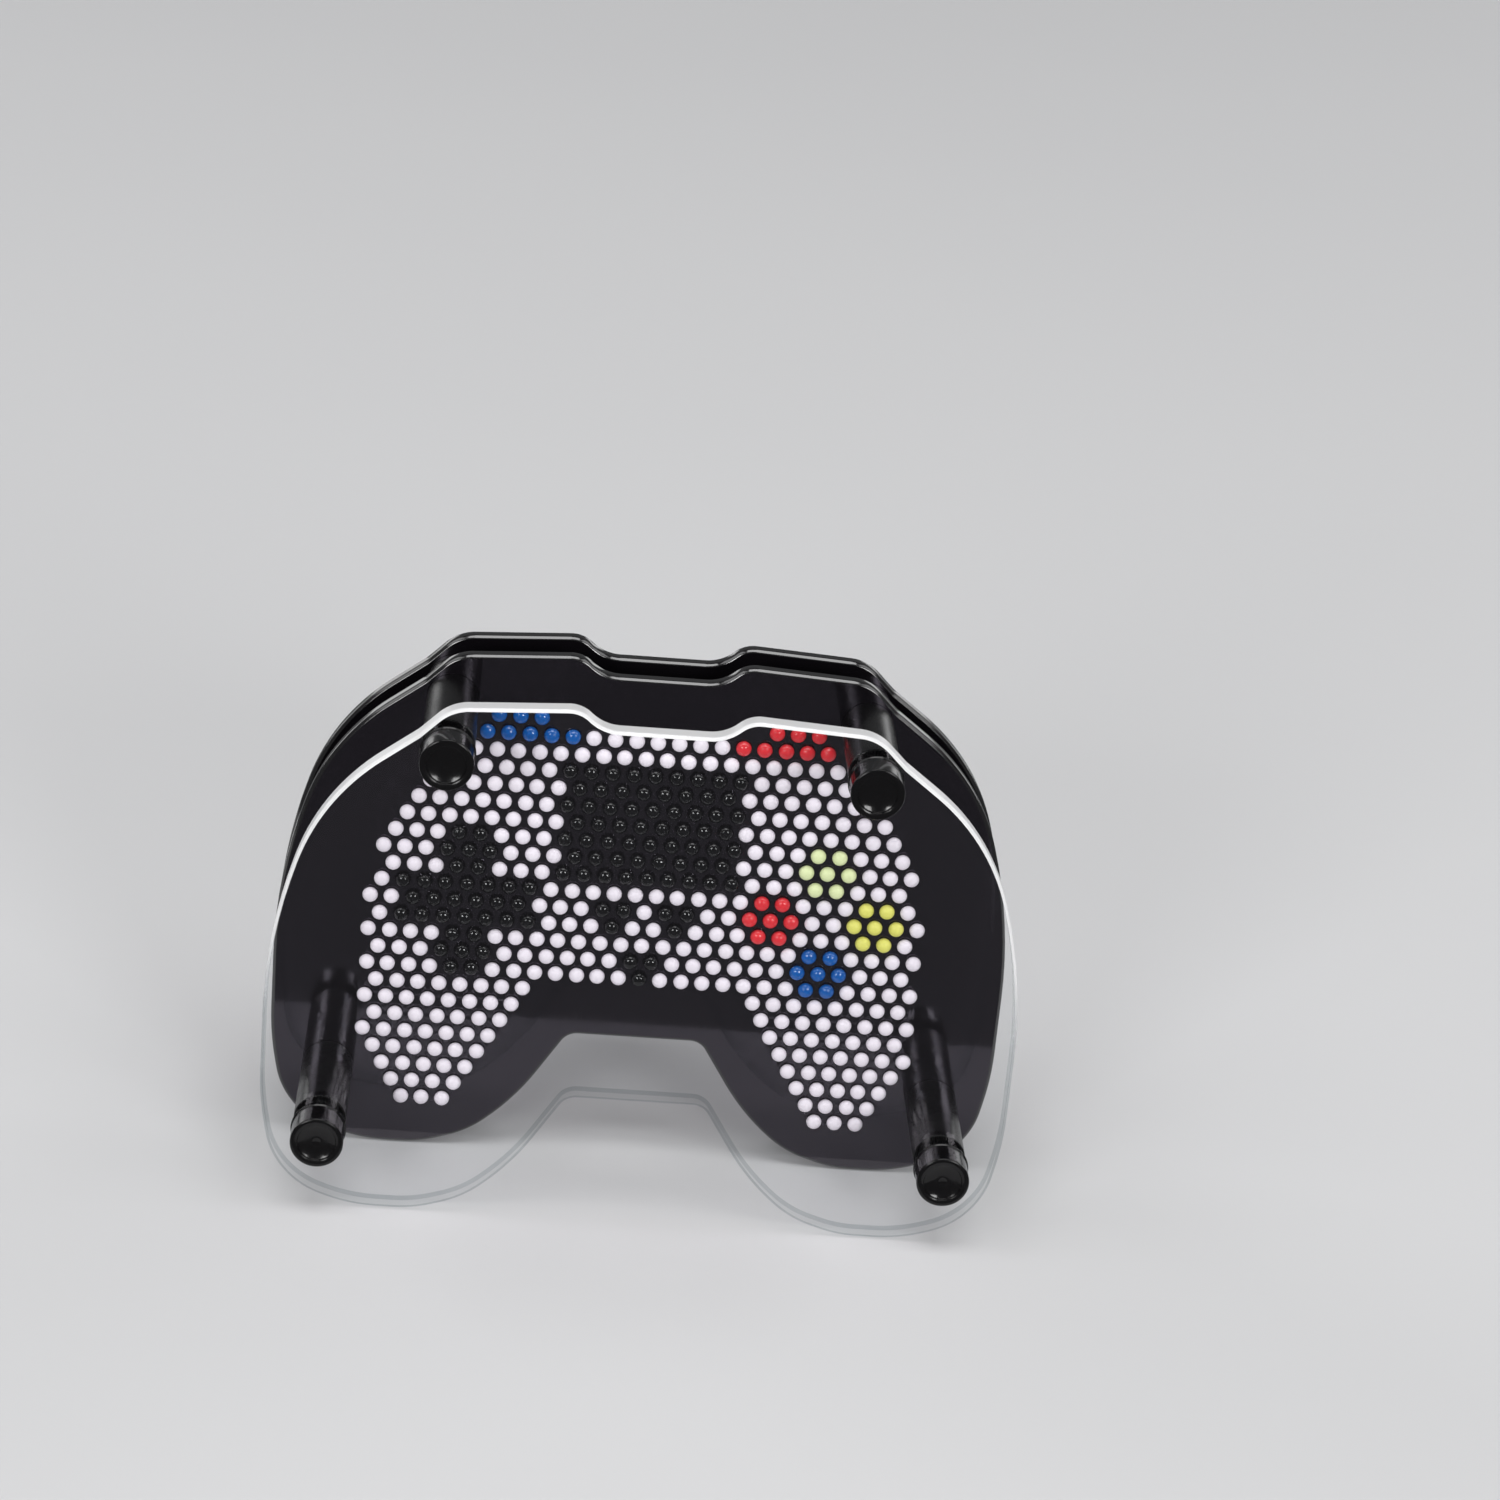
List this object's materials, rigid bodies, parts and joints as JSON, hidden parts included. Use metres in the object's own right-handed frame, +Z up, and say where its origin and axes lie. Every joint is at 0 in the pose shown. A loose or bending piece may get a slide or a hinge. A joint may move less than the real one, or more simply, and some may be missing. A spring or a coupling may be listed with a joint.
{
  "type": "pin art impression toy",
  "caption": "Desk pin art toy with a controller-shaped outline: sliding domed pins in two black plates behind a clear front plate on round posts.",
  "frame": {"origin": "middle of the bounding box, on the surface that the grips stand on", "axes": "+Z up, -Y is the front with the clear plate, +X is to the right seen from the front; the pins slide along Y"},
  "size_m": [0.1212, 0.063, 0.0886],
  "materials": {
    "clear_acrylic": "polished clear acrylic",
    "black_plate": "glossy",
    "black_post": "glossy",
    "screw_steel": "zinc-plated",
    "pin_white": "satin",
    "pin_black": "glossy",
    "pin_blue": "glossy",
    "pin_red": "glossy",
    "pin_green": "satin",
    "pin_yellow": "satin"
  },
  "bodies": {
    "root": {"clear_front_plate": "clear_acrylic", "front_pin_plate": "black_plate", "rear_pin_plate": "black_plate", "cap_lower_left": "black_post", "cap_lower_right": "black_post", "cap_upper_left": "black_post", "cap_upper_right": "black_post", "front_tube_lower_left": "black_post", "front_tube_lower_right": "black_post", "front_tube_upper_left": "black_post", "front_tube_upper_right": "black_post", "rear_spacer_lower_left": "black_post", "rear_spacer_lower_right": "black_post", "rear_spacer_upper_left": "black_post", "rear_spacer_upper_right": "black_post", "tie_screws": "screw_steel"},
    "pins_button_blue": {"pins_button_blue": "pin_blue"},
    "pins_button_green": {"pins_button_green": "pin_green"},
    "pins_button_red": {"pins_button_red": "pin_red"},
    "pins_button_yellow": {"pins_button_yellow": "pin_yellow"},
    "pins_dpad_down": {"pins_dpad_down": "pin_black"},
    "pins_dpad_left": {"pins_dpad_left": "pin_black"},
    "pins_dpad_middle": {"pins_dpad_middle": "pin_black"},
    "pins_dpad_right": {"pins_dpad_right": "pin_black"},
    "pins_dpad_up": {"pins_dpad_up": "pin_black"},
    "pins_home": {"pins_home": "pin_black"},
    "pins_menu_left": {"pins_menu_left": "pin_black"},
    "pins_menu_right": {"pins_menu_right": "pin_black"},
    "pins_screen_1": {"pins_screen_1": "pin_black"},
    "pins_screen_2": {"pins_screen_2": "pin_black"},
    "pins_screen_3": {"pins_screen_3": "pin_black"},
    "pins_screen_4": {"pins_screen_4": "pin_black"},
    "pins_shoulder_left": {"pins_shoulder_left": "pin_blue"},
    "pins_shoulder_right": {"pins_shoulder_right": "pin_red"},
    "pins_white_left_1": {"pins_white_left_1": "pin_white"},
    "pins_white_left_10": {"pins_white_left_10": "pin_white"},
    "pins_white_left_11": {"pins_white_left_11": "pin_white"},
    "pins_white_left_2": {"pins_white_left_2": "pin_white"},
    "pins_white_left_3": {"pins_white_left_3": "pin_white"},
    "pins_white_left_4": {"pins_white_left_4": "pin_white"},
    "pins_white_left_5": {"pins_white_left_5": "pin_white"},
    "pins_white_left_6": {"pins_white_left_6": "pin_white"},
    "pins_white_left_7": {"pins_white_left_7": "pin_white"},
    "pins_white_left_8": {"pins_white_left_8": "pin_white"},
    "pins_white_left_9": {"pins_white_left_9": "pin_white"},
    "pins_white_middle_1": {"pins_white_middle_1": "pin_white"},
    "pins_white_middle_2": {"pins_white_middle_2": "pin_white"},
    "pins_white_middle_3": {"pins_white_middle_3": "pin_white"},
    "pins_white_middle_4": {"pins_white_middle_4": "pin_white"},
    "pins_white_right_1": {"pins_white_right_1": "pin_white"},
    "pins_white_right_10": {"pins_white_right_10": "pin_white"},
    "pins_white_right_11": {"pins_white_right_11": "pin_white"},
    "pins_white_right_2": {"pins_white_right_2": "pin_white"},
    "pins_white_right_3": {"pins_white_right_3": "pin_white"},
    "pins_white_right_4": {"pins_white_right_4": "pin_white"},
    "pins_white_right_5": {"pins_white_right_5": "pin_white"},
    "pins_white_right_6": {"pins_white_right_6": "pin_white"},
    "pins_white_right_7": {"pins_white_right_7": "pin_white"},
    "pins_white_right_8": {"pins_white_right_8": "pin_white"},
    "pins_white_right_9": {"pins_white_right_9": "pin_white"}
  },
  "joints": [
    {"name": "pins_button_blue_slide", "type": "slide", "parent": "root", "child": "pins_button_blue", "axis": [0, -1, 0], "range_m": [0, 0.0192]},
    {"name": "pins_button_green_slide", "type": "slide", "parent": "root", "child": "pins_button_green", "axis": [0, -1, 0], "range_m": [0, 0.0192]},
    {"name": "pins_button_red_slide", "type": "slide", "parent": "root", "child": "pins_button_red", "axis": [0, -1, 0], "range_m": [0, 0.0192]},
    {"name": "pins_button_yellow_slide", "type": "slide", "parent": "root", "child": "pins_button_yellow", "axis": [0, -1, 0], "range_m": [0, 0.0192]},
    {"name": "pins_dpad_down_slide", "type": "slide", "parent": "root", "child": "pins_dpad_down", "axis": [0, -1, 0], "range_m": [0, 0.0192]},
    {"name": "pins_dpad_left_slide", "type": "slide", "parent": "root", "child": "pins_dpad_left", "axis": [0, -1, 0], "range_m": [0, 0.0192]},
    {"name": "pins_dpad_middle_slide", "type": "slide", "parent": "root", "child": "pins_dpad_middle", "axis": [0, -1, 0], "range_m": [0, 0.0192]},
    {"name": "pins_dpad_right_slide", "type": "slide", "parent": "root", "child": "pins_dpad_right", "axis": [0, -1, 0], "range_m": [0, 0.0192]},
    {"name": "pins_dpad_up_slide", "type": "slide", "parent": "root", "child": "pins_dpad_up", "axis": [0, -1, 0], "range_m": [0, 0.0192]},
    {"name": "pins_home_slide", "type": "slide", "parent": "root", "child": "pins_home", "axis": [0, -1, 0], "range_m": [0, 0.0192]},
    {"name": "pins_menu_left_slide", "type": "slide", "parent": "root", "child": "pins_menu_left", "axis": [0, -1, 0], "range_m": [0, 0.0192]},
    {"name": "pins_menu_right_slide", "type": "slide", "parent": "root", "child": "pins_menu_right", "axis": [0, -1, 0], "range_m": [0, 0.0192]},
    {"name": "pins_screen_1_slide", "type": "slide", "parent": "root", "child": "pins_screen_1", "axis": [0, -1, 0], "range_m": [0, 0.0192]},
    {"name": "pins_screen_2_slide", "type": "slide", "parent": "root", "child": "pins_screen_2", "axis": [0, -1, 0], "range_m": [0, 0.0192]},
    {"name": "pins_screen_3_slide", "type": "slide", "parent": "root", "child": "pins_screen_3", "axis": [0, -1, 0], "range_m": [0, 0.0192]},
    {"name": "pins_screen_4_slide", "type": "slide", "parent": "root", "child": "pins_screen_4", "axis": [0, -1, 0], "range_m": [0, 0.0192]},
    {"name": "pins_shoulder_left_slide", "type": "slide", "parent": "root", "child": "pins_shoulder_left", "axis": [0, -1, 0], "range_m": [0, 0.0192]},
    {"name": "pins_shoulder_right_slide", "type": "slide", "parent": "root", "child": "pins_shoulder_right", "axis": [0, -1, 0], "range_m": [0, 0.0192]},
    {"name": "pins_white_left_1_slide", "type": "slide", "parent": "root", "child": "pins_white_left_1", "axis": [0, -1, 0], "range_m": [0, 0.0192]},
    {"name": "pins_white_left_10_slide", "type": "slide", "parent": "root", "child": "pins_white_left_10", "axis": [0, -1, 0], "range_m": [0, 0.0192]},
    {"name": "pins_white_left_11_slide", "type": "slide", "parent": "root", "child": "pins_white_left_11", "axis": [0, -1, 0], "range_m": [0, 0.0192]},
    {"name": "pins_white_left_2_slide", "type": "slide", "parent": "root", "child": "pins_white_left_2", "axis": [0, -1, 0], "range_m": [0, 0.0192]},
    {"name": "pins_white_left_3_slide", "type": "slide", "parent": "root", "child": "pins_white_left_3", "axis": [0, -1, 0], "range_m": [0, 0.0192]},
    {"name": "pins_white_left_4_slide", "type": "slide", "parent": "root", "child": "pins_white_left_4", "axis": [0, -1, 0], "range_m": [0, 0.0192]},
    {"name": "pins_white_left_5_slide", "type": "slide", "parent": "root", "child": "pins_white_left_5", "axis": [0, -1, 0], "range_m": [0, 0.0192]},
    {"name": "pins_white_left_6_slide", "type": "slide", "parent": "root", "child": "pins_white_left_6", "axis": [0, -1, 0], "range_m": [0, 0.0192]},
    {"name": "pins_white_left_7_slide", "type": "slide", "parent": "root", "child": "pins_white_left_7", "axis": [0, -1, 0], "range_m": [0, 0.0192]},
    {"name": "pins_white_left_8_slide", "type": "slide", "parent": "root", "child": "pins_white_left_8", "axis": [0, -1, 0], "range_m": [0, 0.0192]},
    {"name": "pins_white_left_9_slide", "type": "slide", "parent": "root", "child": "pins_white_left_9", "axis": [0, -1, 0], "range_m": [0, 0.0192]},
    {"name": "pins_white_middle_1_slide", "type": "slide", "parent": "root", "child": "pins_white_middle_1", "axis": [0, -1, 0], "range_m": [0, 0.0192]},
    {"name": "pins_white_middle_2_slide", "type": "slide", "parent": "root", "child": "pins_white_middle_2", "axis": [0, -1, 0], "range_m": [0, 0.0192]},
    {"name": "pins_white_middle_3_slide", "type": "slide", "parent": "root", "child": "pins_white_middle_3", "axis": [0, -1, 0], "range_m": [0, 0.0192]},
    {"name": "pins_white_middle_4_slide", "type": "slide", "parent": "root", "child": "pins_white_middle_4", "axis": [0, -1, 0], "range_m": [0, 0.0192]},
    {"name": "pins_white_right_1_slide", "type": "slide", "parent": "root", "child": "pins_white_right_1", "axis": [0, -1, 0], "range_m": [0, 0.0192]},
    {"name": "pins_white_right_10_slide", "type": "slide", "parent": "root", "child": "pins_white_right_10", "axis": [0, -1, 0], "range_m": [0, 0.0192]},
    {"name": "pins_white_right_11_slide", "type": "slide", "parent": "root", "child": "pins_white_right_11", "axis": [0, -1, 0], "range_m": [0, 0.0192]},
    {"name": "pins_white_right_2_slide", "type": "slide", "parent": "root", "child": "pins_white_right_2", "axis": [0, -1, 0], "range_m": [0, 0.0192]},
    {"name": "pins_white_right_3_slide", "type": "slide", "parent": "root", "child": "pins_white_right_3", "axis": [0, -1, 0], "range_m": [0, 0.0192]},
    {"name": "pins_white_right_4_slide", "type": "slide", "parent": "root", "child": "pins_white_right_4", "axis": [0, -1, 0], "range_m": [0, 0.0192]},
    {"name": "pins_white_right_5_slide", "type": "slide", "parent": "root", "child": "pins_white_right_5", "axis": [0, -1, 0], "range_m": [0, 0.0192]},
    {"name": "pins_white_right_6_slide", "type": "slide", "parent": "root", "child": "pins_white_right_6", "axis": [0, -1, 0], "range_m": [0, 0.0192]},
    {"name": "pins_white_right_7_slide", "type": "slide", "parent": "root", "child": "pins_white_right_7", "axis": [0, -1, 0], "range_m": [0, 0.0192]},
    {"name": "pins_white_right_8_slide", "type": "slide", "parent": "root", "child": "pins_white_right_8", "axis": [0, -1, 0], "range_m": [0, 0.0192]},
    {"name": "pins_white_right_9_slide", "type": "slide", "parent": "root", "child": "pins_white_right_9", "axis": [0, -1, 0], "range_m": [0, 0.0192]}
  ]
}
